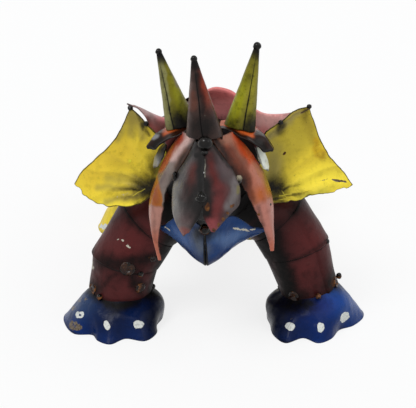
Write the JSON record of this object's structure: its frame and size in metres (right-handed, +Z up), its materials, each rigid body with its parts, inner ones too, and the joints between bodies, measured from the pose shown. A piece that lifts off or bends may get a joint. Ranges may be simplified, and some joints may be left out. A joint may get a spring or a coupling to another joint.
{
  "type": "metal triceratops figurine",
  "caption": "Triceratops yard figure welded together from rolled and hammered sheet steel, with a horned head, a flared frill and round scalloped feet, in worn paint.",
  "frame": {"origin": "on the floor under the middle of the figure's overall box", "axes": "+Z up, -Y the way the head looks, +Y back along the tail, +X the viewer's right when facing the head"},
  "size_m": [0.269, 0.5213, 0.2694],
  "materials": {
    "maroon_sheet": "satin, sooty at the welds",
    "rose_sheet": "satin, chipped",
    "gunmetal_sheet": "satin, sooty",
    "sooty_sheet": "matte, soot over bare sheet",
    "orange_sheet": "satin, worn",
    "salmon_sheet": "satin, worn",
    "yellow_sheet": "satin, sooty at the welds",
    "lime_sheet": "satin, sooty",
    "blue_sheet": "satin, chipped",
    "pale_disc": "satin",
    "weld_steel": "dark glossy weld metal with rust"
  },
  "bodies": {
    "root": {"skull": "sooty_sheet", "neck_band": "maroon_sheet", "chest_band": "maroon_sheet", "shoulder_band": "maroon_sheet", "barrel_band": "maroon_sheet", "loin_band": "maroon_sheet", "tail_root": "maroon_sheet", "tail_middle": "maroon_sheet", "tail_tip": "maroon_sheet", "beak_left": "gunmetal_sheet", "beak_right": "rose_sheet", "cheek_left": "orange_sheet", "cheek_right": "salmon_sheet", "jaw_left": "blue_sheet", "jaw_right": "blue_sheet", "brow_left": "orange_sheet", "brow_right": "orange_sheet", "eye_left": "pale_disc", "eye_right": "pale_disc", "nose_horn": "orange_sheet", "brow_horn_left": "lime_sheet", "brow_horn_right": "lime_sheet", "frill_left": "yellow_sheet", "frill_right": "yellow_sheet", "frill_crown": "rose_sheet", "front_shoulder_left": "maroon_sheet", "front_thigh_left": "maroon_sheet", "front_shin_left": "maroon_sheet", "front_foot_left": "blue_sheet", "front_shoulder_right": "maroon_sheet", "front_thigh_right": "maroon_sheet", "front_shin_right": "maroon_sheet", "front_foot_right": "blue_sheet", "hind_hip_left": "maroon_sheet", "hind_thigh_left": "maroon_sheet", "hind_shin_left": "maroon_sheet", "hind_foot_left": "yellow_sheet", "hind_hip_right": "maroon_sheet", "hind_thigh_right": "maroon_sheet", "hind_shin_right": "maroon_sheet", "hind_foot_right": "yellow_sheet", "horn_welds": "weld_steel", "face_welds": "weld_steel", "jaw_welds": "weld_steel", "frill_welds": "weld_steel", "front_leg_welds": "weld_steel", "hind_leg_welds": "weld_steel", "body_welds": "weld_steel"}
  },
  "joints": []
}
